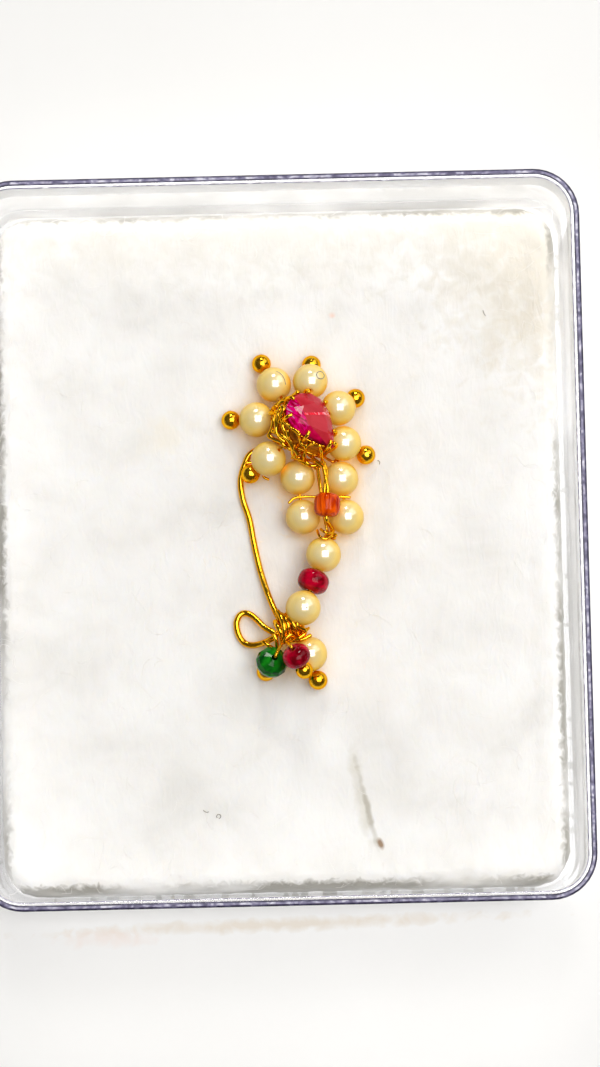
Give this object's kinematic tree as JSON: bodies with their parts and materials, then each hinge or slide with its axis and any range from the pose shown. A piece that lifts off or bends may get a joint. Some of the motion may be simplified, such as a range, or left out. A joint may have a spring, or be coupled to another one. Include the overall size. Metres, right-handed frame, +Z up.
{
  "type": "nose pin in a box",
  "caption": "Pearl nose pin with a claw-set pear stone, glass beads, a hooked wire and a loop, lying on cotton in an open clear plastic box.",
  "frame": {"origin": "middle of the box's flat underside", "axes": "+X across the box, +Y along its length towards the end where the set stone lies, +Z up out of the open top"},
  "size_m": [0.067, 0.08, 0.018],
  "materials": {
    "clear_plastic": "clear moulded polystyrene, polished",
    "cotton": "white cotton wadding, matt and fibrous",
    "pearl": "cream pearl lustre, smooth",
    "gold": "polished yellow gold plate",
    "orange_glass": "translucent orange-red glass, polished",
    "red_glass": "deep ruby glass, polished",
    "green_glass": "deep green glass, cut in facets",
    "pink_stone": "pear cut, pink-red, polished facets"
  },
  "bodies": {
    "root": {"box_tray": "clear_plastic", "cotton_pad": "cotton", "pear_stone": "pink_stone", "claw_setting": "gold", "pearl_01": "pearl", "pearl_02": "pearl", "pearl_03": "pearl", "pearl_04": "pearl", "pearl_05": "pearl", "pearl_06": "pearl", "pearl_07": "pearl", "pearl_08": "pearl", "pearl_09": "pearl", "pearl_10": "pearl", "pearl_11": "pearl", "pearl_12": "pearl", "pearl_13": "pearl", "gold_ball_1": "gold", "gold_ball_2": "gold", "gold_ball_3": "gold", "gold_ball_4": "gold", "gold_ball_5": "gold", "gold_ball_6": "gold", "gold_ball_7": "gold", "gold_ball_8": "gold", "gold_ball_9": "gold", "petal_pin_1": "gold", "petal_pin_2": "gold", "petal_pin_3": "gold", "petal_pin_4": "gold", "petal_pin_5": "gold", "petal_pin_6": "gold", "orange_bead": "orange_glass", "red_bead_stem": "red_glass", "red_bead_drop": "red_glass", "green_bead": "green_glass", "side_wire_left": "gold", "side_wire_right": "gold", "cross_wire": "gold", "stem_wire": "gold", "back_wire": "gold", "hook_wire": "gold", "loop_wire": "gold", "drop_wire_pearl": "gold", "drop_wire_red": "gold", "drop_wire_green": "gold", "binding_wire": "gold"}
  },
  "joints": []
}
